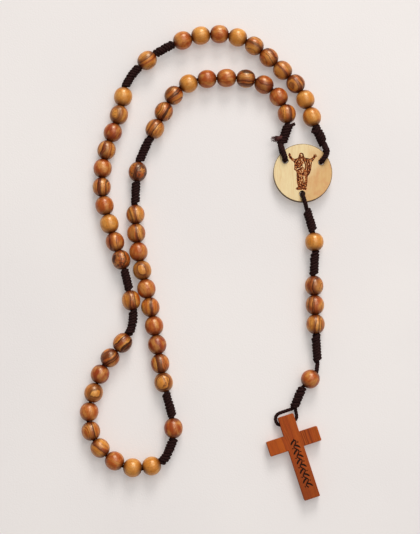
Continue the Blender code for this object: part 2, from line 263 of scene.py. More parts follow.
def bead_wood():
    """Olive wood: golden to red brown layers, thin dark veins between them, fine fibres along the bore, and ends
    darkened partly by end grain and partly by painted shade where neighbouring beads touch.
    """
    g = Graph("bead_wood")
    grain = g.attribute("grain").outputs["Vector"]
    redness, veining, seed = g.parts(g.attribute("look").outputs["Vector"])
    slow = g.noise(g.vector("MULTIPLY", grain, (0.17, 0.17, 0.10)), detail=1.0)
    quick = g.noise(g.vector("MULTIPLY", grain, (0.8, 0.8, 0.3)), detail=2.0)
    bent = g.math("MULTIPLY_ADD", g.math("SUBTRACT", slow, 0.5), 3.4, g.parts(grain)[0])
    layer = g.math("MULTIPLY_ADD", g.math("SUBTRACT", quick, 0.5), 0.9, bent)
    place = g.math("ADD", layer, seed)
    bands = g.noise(place, 0.42, 2.0, dimensions="1D")
    growth = g.noise(place, 1.7, 3.0, 0.6, "1D")
    lines = g.math("ABSOLUTE", g.math("SUBTRACT", g.noise(g.math("ADD", place, 40.0), 0.36, 1.0, dimensions="1D"), 0.5))
    veins = g.math("MULTIPLY", g.ramp(lines, 0.003, 0.018, 1.0, 0.0), g.ramp(veining, 0.2, 1.0))
    single = g.ramp(veining, 1.2, 1.5, 1.0, 0.15)
    main_vein = g.math("MULTIPLY", g.ramp(g.math("ABSOLUTE", layer), 0.05, 0.22, 1.0, 0.0), g.ramp(veining, 0.25, 1.0))
    main_vein = g.math("MULTIPLY", main_vein, single)
    beside = g.math("MULTIPLY", g.ramp(layer, -0.12, 0.05), g.ramp(layer, 0.1, 2.0, 1.0, 0.0))
    beside = g.math("MULTIPLY", beside, g.math("MULTIPLY", g.ramp(veining, 0.1, 0.8), single))
    patch = g.ramp(g.noise(g.math("ADD", place, 90.0), 0.3, 1.0, dimensions="1D"), 0.57, 0.63)
    patch = g.math("MULTIPLY", patch, g.ramp(veining, 0.5, 1.1))
    fleck = g.noise(g.vector("MULTIPLY", grain, (1.1, 1.1, 0.8)), detail=3.0, roughness=0.65)
    flecks = g.math("MULTIPLY", g.ramp(fleck, 0.52, 0.6), g.ramp(veining, 1.2, 1.5))
    # Darker bead ends: partly the wood's darker end grain round the bore, partly painted shade where neighbouring beads
    # touch.
    ends = g.ramp(g.attribute("burn_and_end_shade").outputs["Fac"], 0.45, 1.0)
    fibres = g.noise(g.vector("MULTIPLY", grain, (6.0, 6.0, 0.6)), detail=3.0, roughness=0.65)
    cloud = g.noise(g.vector("MULTIPLY", grain, (0.45, 0.45, 0.25)), detail=2.0)
    pore = g.ramp(g.noise(g.vector("MULTIPLY", grain, (11.0, 11.0, 1.6)), detail=1.0), 0.68, 0.76)

    tone = g.math("MULTIPLY_ADD", g.math("SUBTRACT", bands, 0.5), g.ramp(veining, 0.1, 0.8, 0.7, 1.6), redness)
    wood = g.mix(g.ramp(tone, 0.0, 0.5), colour(227, 151, 63), colour(194, 97, 29))
    wood = g.mix(g.ramp(tone, 0.45, 1.1), wood, colour(150, 52, 15))
    wood = g.mix(g.ramp(cloud, 0.4, 0.68, 0.0, 0.5), wood, colour(248, 188, 104))
    wood = g.mix(g.math("MULTIPLY", g.ramp(growth, 0.48, 0.7, 0.0, 0.52), g.ramp(veining, 0.1, 0.8, 0.4, 1.0)), wood, colour(116, 42, 10))
    wood = g.mix(g.math("MULTIPLY", patch, 0.75), wood, colour(84, 38, 16))
    wood = g.mix(g.math("MULTIPLY", beside, 0.8), wood, colour(122, 46, 16))
    wood = g.mix(g.math("MULTIPLY", flecks, 0.8), wood, colour(78, 36, 18))
    dark = g.math("MAXIMUM", main_vein, g.math("MULTIPLY", veins, 0.8))
    wood = g.mix(g.math("MULTIPLY", dark, 0.95), wood, colour(38, 15, 7))
    wood = g.mix(g.ramp(fibres, 0.35, 0.7, 0.0, 0.36), wood, colour(104, 41, 11))
    wood = g.mix(g.math("MULTIPLY", pore, 0.4), wood, colour(72, 32, 12))
    # Mixes in the darker ends: end grain together with painted shade where the beads touch.
    wood = g.mix(g.math("MULTIPLY", ends, 0.8), wood, colour(84, 28, 8))
    height = g.math("MULTIPLY_ADD", pore, -1.0, g.math("MULTIPLY_ADD", fibres, 0.5, g.math("MULTIPLY", dark, -0.5)))
    g.bump(height, 0.03 * MM, 0.6)
    rough = g.math("MULTIPLY_ADD", fibres, 0.12, g.math("MULTIPLY_ADD", dark, 0.2, 0.25))
    shine = g.math("MULTIPLY_ADD", dark, -0.45, 0.9)
    return g.finish(Base_Color=wood, Roughness=rough, Specular_IOR_Level=shine, Specular_Tint=(1.0, 0.93, 0.77, 1.0))


def cord_fibre():
    """Dark brown twisted cord with fine fibres: the grooves between the plies are painted darker than the crests,
    painted shade where the plies meet.
    """
    g = Graph("cord_fibre")
    grain = g.attribute("grain").outputs["Vector"]
    crest = g.attribute("crest").outputs["Fac"]
    fibres = g.noise(g.vector("MULTIPLY", grain, (9.0, 9.0, 1.6)), detail=3.0, roughness=0.7)
    patches = g.noise(g.vector("MULTIPLY", grain, (0.7, 0.7, 0.4)), detail=2.0)
    # Painted shade: the grooves between the plies are coloured near black and the crests brown.
    body = g.mix(g.ramp(crest, 0.2, 1.0), colour(17, 8, 7), colour(62, 33, 30))
    body = g.mix(g.ramp(patches, 0.35, 0.65, 0.0, 0.5), body, colour(34, 17, 17))
    body = g.mix(g.ramp(fibres, 0.45, 0.75, 0.0, 0.5), body, colour(78, 47, 41))
    body = g.mix(g.ramp(crest, 1.2, 2.0), body, colour(98, 60, 56))
    g.bump(fibres, 0.05 * MM, 0.8)
    rough = g.math("MULTIPLY_ADD", fibres, 0.2, 0.7)
    return g.finish(Base_Color=body, Roughness=rough, Specular_IOR_Level=0.2)


def medal_wood():
    """Pale smooth wood with a scorched edge, scorched hole rims and a burned engraving."""
    g = Graph("medal_wood")
    grain = g.attribute("grain").outputs["Vector"]
    burn_and_end_shade = g.attribute("burn_and_end_shade").outputs["Fac"]
    x, y, z = g.parts(grain)
    wave = g.noise(g.vector("MULTIPLY", grain, (0.25, 0.08, 0.25)), detail=2.0)
    rings = g.noise(g.math("MULTIPLY_ADD", wave, 4.0, x), 1.3, 3.0, 0.6, "1D")
    fibres = g.noise(g.vector("MULTIPLY", grain, (6.0, 0.5, 6.0)), detail=3.0, roughness=0.6)
    cloud = g.noise(g.vector("MULTIPLY", grain, (0.13, 0.13, 0.13)), detail=2.0)
    sideways = g.math("MULTIPLY_ADD", x, 0.055, g.math("MULTIPLY_ADD", y, -0.02, cloud))
    wood = g.mix(g.ramp(sideways, 0.3, 1.05), colour(236, 215, 170), colour(220, 181, 127))
    blotch = g.noise(g.vector("MULTIPLY", grain, (0.5, 0.35, 0.5)), detail=3.0)
    warm = g.math("MULTIPLY", g.ramp(blotch, 0.4, 0.7), g.ramp(sideways, 0.5, 1.1, 0.1, 0.6))
    wood = g.mix(warm, wood, colour(212, 150, 104))
    wood = g.mix(g.ramp(rings, 0.42, 0.68, 0.0, 0.3), wood, colour(214, 170, 108))
    wood = g.mix(g.ramp(fibres, 0.5, 0.75, 0.0, 0.2), wood, colour(200, 150, 90))
    radius = g.vector("LENGTH", g.node("CombineXYZ", {0: x, 1: y}).outputs[0])
    char = g.noise(g.vector("MULTIPLY", grain, (1.4, 1.4, 0.7)), detail=2.0)
    edge = g.math("MULTIPLY_ADD", char, 0.3, radius)
    scorch = g.ramp(edge, 12.45, 12.85)
    for place in medal_holes().values():
        far = g.vector("DISTANCE", grain, (*place, 0.0))
        flat = g.math("SQRT", g.math("MAXIMUM", g.math("SUBTRACT", g.math("POWER", far, 2.0), g.math("POWER", z, 2.0)), 0.0))
        scorch = g.math("MAXIMUM", scorch, g.ramp(flat, 1.28, 1.5, 1.0, 0.0))
    mottle = g.noise(g.vector("MULTIPLY", grain, (1.7, 1.7, 1.7)), detail=3.0, roughness=0.7)
    burned = g.math("MULTIPLY", burn_and_end_shade, g.ramp(mottle, 0.4, 0.6, 0.3, 1.75))
    wood = g.mix(g.ramp(burned, 0.05, 0.25), wood, colour(206, 130, 64))
    wood = g.mix(g.ramp(burned, 0.2, 0.52), wood, colour(150, 74, 28))
    wood = g.mix(g.ramp(burned, 0.5, 0.9), wood, colour(62, 22, 9))
    wood = g.mix(g.math("MULTIPLY", scorch, 0.94), wood, g.mix(char, colour(36, 22, 14), colour(92, 54, 28)))
    height = g.math("MULTIPLY_ADD", burned, -0.3, g.math("MULTIPLY_ADD", fibres, 0.5, g.math("MULTIPLY", mottle, 0.2)))
    g.bump(height, 0.04 * MM, 0.5)
    rough = g.math("MULTIPLY_ADD", burned, 0.25, g.math("MULTIPLY_ADD", fibres, 0.15, 0.5))
    return g.finish(Base_Color=wood, Roughness=rough, Specular_IOR_Level=0.3)


def cross_wood():
    """Oiled red brown wood with its grain along the upright, darker streaks and a burned ornament."""
    g = Graph("cross_wood")
    grain = g.attribute("grain").outputs["Vector"]
    burn_and_end_shade = g.attribute("burn_and_end_shade").outputs["Fac"]
    x, y, z = g.parts(grain)
    slow = g.noise(g.vector("MULTIPLY", grain, (0.1, 0.03, 0.15)), detail=2.0)
    quick = g.noise(g.vector("MULTIPLY", grain, (0.6, 0.1, 0.6)), detail=2.0)
    layer = g.math("MULTIPLY_ADD", slow, 4.0, g.math("MULTIPLY_ADD", quick, 0.9, g.math("MULTIPLY_ADD", z, 0.5, x)))
    bands = g.noise(layer, 0.36, 2.0, dimensions="1D")
    growth = g.noise(layer, 1.9, 3.0, 0.6, "1D")
    lines = g.math("ABSOLUTE", g.math("SUBTRACT", g.noise(g.math("ADD", layer, 31.0), 0.7, 2.0, dimensions="1D"), 0.5))
    veins = g.ramp(lines, 0.01, 0.05, 1.0, 0.0)
    fibres = g.noise(g.vector("MULTIPLY", grain, (5.0, 0.4, 5.0)), detail=3.0, roughness=0.65)
    pores = g.ramp(g.noise(g.vector("MULTIPLY", grain, (9.0, 1.1, 9.0)), detail=1.0), 0.66, 0.76)
    rightward = g.ramp(x, -9.0, 6.0)
    wood = g.mix(g.ramp(bands, 0.35, 0.65), colour(188, 98, 34), colour(170, 82, 32))
    wood = g.mix(g.math("MULTIPLY", rightward, 0.2), wood, colour(150, 64, 28))
    wood = g.mix(g.ramp(y, -34.0, -13.0, 0.4, 0.0), wood, colour(136, 68, 30))
    wood = g.mix(g.math("MULTIPLY", g.ramp(growth, 0.48, 0.7, 0.0, 0.22), g.ramp(x, -7.0, -2.0, 0.3, 1.0)), wood, colour(128, 50, 10))
    streaks = g.math("MULTIPLY", g.ramp(x, 2.6, 3.8), g.ramp(x, 6.4, 8.6, 1.0, 0.0))
    streaks = g.math("MULTIPLY", streaks, g.ramp(g.noise(layer, 1.1, 2.0, 0.6, "1D"), 0.46, 0.6))
    dark = g.math("MAXIMUM", g.math("MULTIPLY", veins, g.ramp(x, -6.0, -2.0, 0.1, 0.25)), g.math("MULTIPLY", streaks, 0.75))
    wood = g.mix(dark, wood, colour(88, 34, 14))
    wood = g.mix(g.ramp(fibres, 0.4, 0.72, 0.0, 0.25), wood, colour(122, 48, 14))
    wood = g.mix(g.math("MULTIPLY", pores, 0.3), wood, colour(78, 32, 12))
    mottle = g.noise(g.vector("MULTIPLY", grain, (3.0, 3.0, 3.0)), detail=2.0)
    burned = g.math("MULTIPLY", burn_and_end_shade, g.ramp(mottle, 0.25, 0.5, 0.7, 1.0))
    wood = g.mix(g.ramp(burned, 0.1, 0.5), wood, colour(80, 36, 16))
    wood = g.mix(g.ramp(burned, 0.45, 0.95), wood, colour(46, 27, 16))
    height = g.math("MULTIPLY_ADD", pores, -0.8, g.math("MULTIPLY_ADD", fibres, 0.6, g.math("MULTIPLY", veins, -0.3)))
    g.bump(height, 0.04 * MM, 0.6)
    rough = g.math("MULTIPLY_ADD", burned, 0.2, g.math("MULTIPLY_ADD", fibres, 0.18, 0.45))
    return g.finish(Base_Color=wood, Roughness=rough, Specular_IOR_Level=0.2)


def floor_cloth():
    """Plain pale cloth, hardly uneven, that glows faintly: painted light that keeps the shadows on it light."""
    g = Graph("floor_cloth")
    where = g.node("TexCoord").outputs["Object"]
    cloud = g.noise(where, 9.0, 3.0)
    g.bump(g.noise(where, 1400.0, 2.0), 0.2 * MM, 0.25)
    tint = g.mix(g.ramp(cloud, 0.3, 0.7), colour(198, 193, 191), colour(203, 198, 195))
    # Painted light: the emission makes the cloth glow faintly so that the shadows on it stay light.
    return g.finish(Base_Color=tint, Roughness=0.95, Emission_Color=colour(240, 235, 232), Emission_Strength=0.26)


# Meshes


def add_piece(name, points, faces, look, attributes=(), sharp=45.0):
    """A smooth shaded mesh object from points in millimetres."""
    mesh = bpy.data.meshes.new(name)
    mesh.from_pydata((np.asarray(points, float) * MM).tolist(), [], faces)
    for key, values in dict(attributes).items():
        values = np.asarray(values, np.float32)
        kind, field = ("FLOAT", "value") if values.ndim == 1 else ("FLOAT_VECTOR", "vector")
        mesh.attributes.new(key, kind, "POINT").data.foreach_set(field, values.ravel())
    mesh.materials.append(look)
    mesh.shade_smooth()
    mesh.set_sharp_from_angle(angle=math.radians(sharp))
    obj = bpy.data.objects.new(name, mesh)
    bpy.context.scene.collection.objects.link(obj)
    return obj


def smooth_route(points, per_span=24):
    """A Catmull-Rom curve through the points, as closely spaced places."""
    p = np.array(points, float)
    p = np.vstack([2 * p[0] - p[1], p, 2 * p[-1] - p[-2]])
    t = np.arange(per_span)[:, None] / per_span
    spans = [
        0.5 * (2 * b + (c - a) * t + (2 * a - 5 * b + 4 * c - d) * t**2 + (3 * b - a - 3 * c + d) * t**3)
        for a, b, c, d in zip(p, p[1:], p[2:], p[3:])
    ]
    return np.vstack([*spans, p[-2:-1]])


def lengths_along(path):
    return np.concatenate([[0.0], np.cumsum(np.linalg.norm(np.diff(path, axis=0), axis=1))])


def evenly(path, step):
    """The path again, with its places about step apart."""
    path = np.array(path, float)
    along = lengths_along(path)
    at = np.linspace(0.0, along[-1], max(3, int(along[-1] / step)))
    return np.stack([np.interp(at, along, path[:, k]) for k in range(3)], axis=1)


def rounded(path, radius=CORNER_ROUNDING, step=CORD_STEP):
    """The path with its corners eased."""
    places = evenly(path, step)
    for _ in range(int(2 * (radius / step) ** 2) + 1):
        places[1:-1] = (places[:-2] + 2 * places[1:-1] + places[2:]) / 4
    return places


def sides_of(path):
    """Along, sideways and upward directions at each place of a path, without twist."""
    ahead = np.gradient(path, axis=0)
    ahead /= np.linalg.norm(ahead, axis=1)[:, None]
    side = np.cross(ahead[0], (0.0, 0.0, 1.0))
    if np.linalg.norm(side) < 0.1:
        side = np.array((1.0, 0.0, 0.0))
    sideways = []
    for direction in ahead:
        side = side - direction * (side @ direction)
        side = side / np.linalg.norm(side)
        sideways.append(side)
    sideways = np.array(sideways)
    return ahead, sideways, np.cross(ahead, sideways)


class Strands:
    """Collects tubes that become one mesh, with what the cord's material reads from each point."""

    def __init__(self):
        self.points, self.grain, self.crest, self.faces = [], [], [], []
        self.count = 0

    def tube(self, path, radius, plies=0, lay=1.0, sides=12, shift=0.0, crest=None):
        ahead, sideways, up = sides_of(path)
        along = lengths_along(path)
        angles = np.linspace(0.0, TURN, sides, endpoint=False)
        twist = angles[None] - TURN * along[:, None] / lay
        lobe = np.abs(np.cos(plies / 2 * twist)) if plies else np.ones(twist.shape)
        reach = np.broadcast_to(radius, along.shape)[:, None] * (1 - GROOVE_DEPTH * (1 - lobe))
        out = sideways[:, None] * np.cos(angles)[None, :, None] + up[:, None] * np.sin(angles)[None, :, None]
        self.points.append((path[:, None] + reach[..., None] * out).reshape(-1, 3))
        along_too = np.broadcast_to(along[:, None] + shift, twist.shape)
        self.grain.append(np.stack([reach * np.cos(twist), reach * np.sin(twist), along_too], axis=-1).reshape(-1, 3))
        # Where a ply's crest value is low, in the grooves between plies, the cord's material paints shade.
        self.crest.append((lobe if crest is None else np.full(lobe.shape, crest)).ravel())
        first = self.count
        for ring in range(len(path) - 1):
            low = first + ring * sides
            for k in range(sides):
                after = (k + 1) % sides
                self.faces.append((low + k, low + after, low + sides + after, low + sides + k))
        last = first + (len(path) - 1) * sides
        self.faces.append(tuple(range(first + sides - 1, first - 1, -1)))
        self.faces.append(tuple(range(last, last + sides)))
        self.count += len(path) * sides

    def piece(self, name, look):
        made = add_piece(
            name,
            np.vstack(self.points),
            self.faces,
            look,
            {"grain": np.vstack(self.grain), "crest": np.concatenate(self.crest)},
            sharp=80.0,
        )
        return made


def hairs(strands, path, count, reach, draw, crest=0.9):
    """Short loose fibres that stand out from around a path."""
    ahead, sideways, up = sides_of(path)
    for _ in range(count):
        at = draw.randrange(2, len(path) - 2)
        turn = draw.uniform(0.0, TURN)
        out = sideways[at] * math.cos(turn) + up[at] * math.sin(turn)
        drift = np.array([draw.uniform(-1.0, 1.0) for _ in range(3)])
        length = draw.uniform(0.25, 1.0)
        steps = np.linspace(0.0, 1.0, 5)[:, None]
        hair = path[at] + out * reach + (out * steps + drift * steps**2 * 0.9) * length
        hair[:, 2] = np.maximum(hair[:, 2], SURFACE_CLEARANCE)
        strands.tube(hair, HAIR_RADIUS * np.linspace(1.0, 0.3, 5), sides=3, crest=crest)


def wound(path, draw, turn, reach):
    """The places of a cord wound round a path in slanting turns, ending inside the winding."""
    ends = path[[0, -1]] + KNOT_REACH * (path[[0, -1]] - path[[2, -3]]) / (2 * CORD_STEP)
    middle = evenly(np.vstack([ends[:1], path, ends[1:]]), 0.1)
    along = lengths_along(middle)
    ahead, sideways, up = sides_of(middle)
    margin = WINDING_CORD_RADIUS * 0.8
    slant = reach * math.tan(math.radians(WINDING_TILT))
    turns = (along[-1] - 2 * margin) / WINDING_PITCH
    angles = np.linspace(0.0, turns * TURN, int(turns * WINDING_STEPS))
    uneven = np.array([draw.uniform(-1.0, 1.0) for _ in range(int(turns) + 3)])
    wobble = np.interp(angles / TURN, np.arange(len(uneven)), uneven)
    ramp = np.minimum(angles, angles[-1] - angles) / (0.5 * TURN)
    radius = reach * (0.5 + 0.5 * np.clip(ramp, 0.0, 1.0)) * (1 + 0.08 * wobble)
    facing = angles + turn
    place = margin + WINDING_PITCH * angles / TURN + slant * np.cos(facing) * np.clip(ramp, 0.0, 1.0)
    place = np.clip(place + 0.2 * wobble, margin, along[-1] - margin)

    def at(field):
        return np.stack([np.interp(place, along, field[:, k]) for k in range(3)], axis=1)

    out = at(sideways) * np.cos(facing)[:, None] + at(up) * np.sin(facing)[:, None]
    return at(middle) + out * radius[:, None]


def build_knot(name, path, look, number, stoutness=1.0):
    draw = random.Random(number)
    strands = Strands()
    winding = wound(path, draw, draw.uniform(0.0, TURN), WINDING_RADIUS * stoutness)
    strands.tube(winding, WINDING_CORD_RADIUS, CORD_PLIES, 2.3, sides=12, shift=number * 100.0)
    middle = evenly(path, 0.4)
    hairs(strands, middle, HAIRS_PER_KNOT, WINDING_RADIUS * stoutness + 0.5 * WINDING_CORD_RADIUS, draw)
    return strands.piece(name, look)


# The string of beads


JOINTS = {joint["child"]: joint for joint in frame["joints"]}


def turning_place(body):
    """Middle and direction of a bead body's bore, in millimetres."""
    joint = JOINTS[body]
    return np.array(joint["pos_m"]) / MM, np.array(joint["axis"])


def decade_beads(decade):
    """(bead name, body, distance along the body's bore) of a decade, in order."""
    beads = []
    half = DECADE_SPACING[decade] / 2
    for number in range(1, 11):
        single = f"decade_{decade}_bead_{number:02d}"
        first_of_two = f"decade_{decade}_beads_{number:02d}_{number + 1:02d}"
        second_of_two = f"decade_{decade}_beads_{number - 1:02d}_{number:02d}"
        if single in frame["nodes"]:
            beads.append((single, single, 0.0))
        elif first_of_two in frame["nodes"]:
            beads.append((single, first_of_two, -half))
        else:
            beads.append((single, second_of_two, half))
    return beads


def bead_groups():
    """The loop's beads in groups that touch, with their spacing."""
    groups = []
    for decade in range(1, 6):
        groups.append((decade_beads(decade), DECADE_SPACING[decade]))
        if decade < 5:
            name = f"our_father_bead_{decade}"
            groups.append(([(name, name, 0.0)], 8.2))
    return groups


def bead_middle(bead):
    name, body, shift = bead
    middle, axis = turning_place(body)
    return middle + axis * shift, axis


def bead_profile(length, fullness):
    """Closed outline (radius, height) of a bead: outside from bottom to top, then down the bore."""
    half = length / 2
    end_share = (1 - (BEAD_END_RADIUS / BEAD_RADIUS) ** fullness) ** (1 / fullness)
    outline = []
    for ring in range(BEAD_RINGS):
        share = end_share * math.sin(math.pi / 2 * (2 * ring / (BEAD_RINGS - 1) - 1))
        outline.append((BEAD_RADIUS * (1 - abs(share) ** fullness) ** (1 / fullness), half * share / end_share))
    top = [(outline[-1][0] - 0.14, half + 0.01), (BORE_RADIUS + 0.05, half - 0.06), (BORE_RADIUS, half - LIP)]
    bottom = [(radius, -height) for radius, height in reversed(top)]
    inside = [(BORE_RADIUS, half * share) for share in (0.5, 0.0, -0.5)]
    return outline + top + inside + bottom


def build_bead(bead, length, letter, look, draw):
    name, body, shift = bead
    middle, axis = bead_middle(bead)
    outline = np.array(bead_profile(length, draw.uniform(1.98, 2.12)))
    angles = np.linspace(0.0, TURN, BEAD_SIDES, endpoint=False)
    side = np.cross((0.0, 0.0, 1.0), axis)
    side /= np.linalg.norm(side)
    upward = np.cross(axis, side)
    turned = np.stack([np.cos(angles), np.sin(angles)], axis=1)
    local = np.zeros((len(outline), BEAD_SIDES, 3))
    local[..., :2] = outline[:, None, :1] * turned[None]
    local[..., 2] = outline[:, 1, None]
    local = local.reshape(-1, 3)
    points = middle + local @ np.array([side, upward, axis])

    redness, veining, turn, vein = WOOD_FIGURES[letter]
    turn = math.radians(turn + draw.uniform(-12.0, 12.0))
    turn *= draw.choice((-1.0, 1.0))
    lean = draw.uniform(-0.22, 0.22)
    across = local[:, 0] * math.sin(turn) + local[:, 1] * math.cos(turn) + local[:, 2] * lean
    other = local[:, 0] * math.cos(turn) - local[:, 1] * math.sin(turn)
    vein += draw.uniform(-0.3, 0.3)
    facing = -1.0 if letter == "e" else 1.0
    grain = np.stack(
        [facing * (across - vein), other + draw.uniform(-90.0, 90.0), local[:, 2] + draw.uniform(-90.0, 90.0)], axis=1
    )
    mood = (redness + draw.uniform(-0.08, 0.08), veining, draw.uniform(0.0, 300.0))
    look_values = np.broadcast_to(mood, grain.shape)
    # Share of the way from the bead's middle to its ends. The material darkens the wood towards the ends, partly as end
    # grain and partly as painted shade where beads touch.
    to_end = np.minimum(1.0, np.abs(local[:, 2]) / (length / 2))
    rings = len(outline)
    faces = []
    for ring in range(rings):
        low, high = ring * BEAD_SIDES, (ring + 1) % rings * BEAD_SIDES
        for k in range(BEAD_SIDES):
            after = (k + 1) % BEAD_SIDES
            faces.append((low + k, low + after, high + after, high + k))
    made = add_piece(name, points, faces, look, {"grain": grain, "look": look_values, "burn_and_end_shade": to_end}, sharp=60.0)
    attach(made, body)
    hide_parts(body)
    return made


def bead_lengths(beads, spacing):
    """Each bead's length, so that neighbours just clear each other where the string bends."""
    places = [bead_middle(bead) for bead in beads]
    longest = [BEAD_LENGTHS[1]] * len(beads)
    for k in range(len(beads) - 1):
        (here, ahead), (there, beyond) = places[k], places[k + 1]
        bend = math.acos(min(1.0, float(ahead @ beyond)))
        room = float(np.linalg.norm(there - here)) - BEND_SHARE * 2 * BEAD_END_RADIUS * math.sin(bend / 2) - BEAD_CLEARANCE
        longest[k] = min(longest[k], room)
        longest[k + 1] = min(longest[k + 1], room)
    return [max(BEAD_LENGTHS[0], length) for length in longest]


def build_beads(look):
    draw = random.Random(11)
    for beads, spacing in bead_groups():
        lengths = bead_lengths(beads, spacing)
        for number, (bead, length) in enumerate(zip(beads, lengths)):
            name = bead[0]
            letter = SINGLE_WOOD.get(name) or DECADE_WOOD[int(name.split("_")[1])][number]
            build_bead(bead, length, letter, look, draw)
    trio = [(f"pendant_hail_mary_bead_{k}",) * 2 + (0.0,) for k in (1, 2, 3)]
    for bead, length in zip(trio, bead_lengths(trio, 8.2)):
        build_bead(bead, length, SINGLE_WOOD[bead[0]], look, draw)
    for name in ("pendant_upper_bead", "pendant_lower_bead"):
        build_bead((name, name, 0.0), 7.7, SINGLE_WOOD[name], look, draw)


# Cords


def lifted(points, height=BEAD_RADIUS):
    return [np.array((x, y, height)) for x, y in points]


def between(route, start, end):
    """The route's places from near start to near end, with start and end themselves."""
    first = int(np.argmin(np.linalg.norm(route - start, axis=1)))
    last = int(np.argmin(np.linalg.norm(route - end, axis=1)))
    return np.vstack([start, route[first + 3 : max(last - 2, first + 3)], end])


def medal_middle():
    low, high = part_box("medal")
    return np.array((low + high) / 2) / MM


def loop_stretches():
    """The loop's path, and the path of each of its knots."""
    route = np.array(lifted(LOOP_ROUTE))
    route[0, 2] = route[-1, 2] = medal_middle()[2]
    route = smooth_route(route)
    path, knots = [], []
    here = route[0]
    for beads, spacing in bead_groups():
        first, first_axis = bead_middle(beads[0])
        last, last_axis = bead_middle(beads[-1])
        start, end = first - first_axis * spacing / 2, last + last_axis * spacing / 2
        knots.append(between(route, here, start))
        path.append(knots[-1])
        for bead in beads:
            middle, axis = bead_middle(bead)
            path.append([middle - axis * 0.46 * spacing, middle + axis * 0.46 * spacing])
        here = end
    knots.append(between(route, here, route[-1]))
    path.append(knots[-1])
    return rounded(np.vstack(path)), [rounded(knot) for knot in knots]


def build_loop_cord(look):
    path, knots = loop_stretches()
    strands = Strands()
    strands.tube(path, CORD_RADIUS, CORD_PLIES, CORD_LAY, sides=15)
    cord = strands.piece("loop_cord_twisted", look)
    on_it = []
    for number, knot in enumerate(knots, start=1):
        stoutness = MEDAL_KNOT_STOUTNESS if number in (1, len(knots)) else 1.0
        on_it.append(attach(build_knot(f"loop_knot_{number:02d}", knot, look, number, stoutness), "loop"))
    on_it += build_cord_ends(look)
    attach(cord, "loop")
    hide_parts("loop_cord")
    return cord, path, on_it


def build_cord_ends(look):
    """The cord's cut ends, which stick out of the two knots beside the medal."""
    draw = random.Random(5)
    strands = Strands()
    tip = np.array([(34.6, 55.6, 4.6), (35.6, 57.0, 5.0), (36.9, 57.9, 5.1), (37.9, 58.3, 5.0)])
    strands.tube(rounded(tip), 0.75, CORD_PLIES, 2.4, sides=12)
    tail = np.array([(32.6, 52.5, 4.6), (31.2, 52.1, 4.9), (30.0, 51.8, 4.8)])
    strands.tube(rounded(tail), 0.95, CORD_PLIES, 2.4, sides=12, crest=1.8)
    for _ in range(90):
        spread = np.array([draw.uniform(-0.8, 0.8) for _ in range(3)])
        start = np.array((30.9, 52.0, 4.8)) + spread
        steps = np.linspace(0.0, 1.0, 6)[:, None]
        away = np.array((-2.4, -0.45, -0.2)) * draw.uniform(0.4, 1.1)
        strands.tube(start + away * steps + spread * steps**2 * 0.6, 0.085, sides=4, crest=draw.uniform(1.4, 2.0))
    stub = np.array([(47.0, 54.8, 5.2), (45.8, 54.9, 5.6), (44.9, 54.6, 5.4)])
    strands.tube(rounded(stub), 0.62, CORD_PLIES, 2.4, sides=12)
    return [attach(strands.piece("cord_cut_ends", look), "loop")]


def strand_height():
    """How far a strand over the medal's face is from the medal's middle plane."""
    low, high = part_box("medal")
    return (high.z - low.z) / MM / 2 + STRAND_CLEARANCE + CORD_RADIUS


def medal_holes():
    """Each hole's place from the medal's middle."""
    places = {}
    for side, angle in HOLE_ANGLES.items():
        turn = math.radians(angle)
        places[side] = (HOLE_CIRCLE_RADIUS * math.cos(turn), HOLE_CIRCLE_RADIUS * math.sin(turn))
    return places


def build_hanger(side, look):
    """The cord between a top knot and its hole: thick over the face, through the hole and back behind."""
    middle = medal_middle()
    hole = middle + np.array((*medal_holes()[side], 0.0))
    apex = np.array((*TILT_PIVOTS[side], middle[2]))
    outward = apex - hole
    reach = float(np.linalg.norm(outward))
    outward /= reach
    lift = np.array((0.0, 0.0, strand_height()))
    upward = lift / np.linalg.norm(lift)
    bow = [np.array((x, y, middle[2])) for x, y in HANGER_BOWS[side]]
    front = [apex + outward * 1.8 + lift * 0.3, apex + lift * 0.75]
    front += [place + lift + upward * 0.55 for place in bow]
    front += [hole + outward * 0.35 + lift * 0.75, hole + outward * 0.1 + lift * 0.4, hole]
    aside = np.array((-0.5 if side == "left" else 0.5, 0.2, 0.0))
    back = [
        hole,
        hole + outward * 0.1 - lift * 0.75,
        hole + outward * 0.9 - lift,
        hole + outward * (reach - 2.3) - lift + aside,
        apex - outward * 0.2 - lift * 0.3 + aside,
        apex + outward * 1.5 - lift * 0.2,
    ]
    strands = Strands()
    front = rounded(front, 0.45, 0.2)
    share = np.linspace(0.0, 1.0, len(front))
    width = np.interp(share, (0.0, 0.12, 0.85, 1.0), (CORD_RADIUS, *HANGER_RADII, CORD_RADIUS))
    strands.tube(front, width, CORD_PLIES, 3.0, sides=18)
    strands.tube(rounded(back, 0.45, 0.2), CORD_RADIUS, CORD_PLIES, 2.6, sides=15)
    hairs(strands, front, 26, 0.8, random.Random(len(side)))
    made = strands.piece(f"medal_cord_{side}", look)
    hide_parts(f"medal_cord_loop_{side}")
    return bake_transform(made)


def cross_frame():
    """The cross's own axes in the world, in millimetres: local -Y runs from its top to its foot."""
    turn = Matrix.Rotation(math.radians(CROSS_ANGLE), 3, "Z")
    return np.array(turn), np.array((*CROSS_TOP, 0.0))


def by_cross(points):
    """World places of points in the cross's own axes."""
    turn, top = cross_frame()
    return np.asarray(points, float) @ turn.T + top


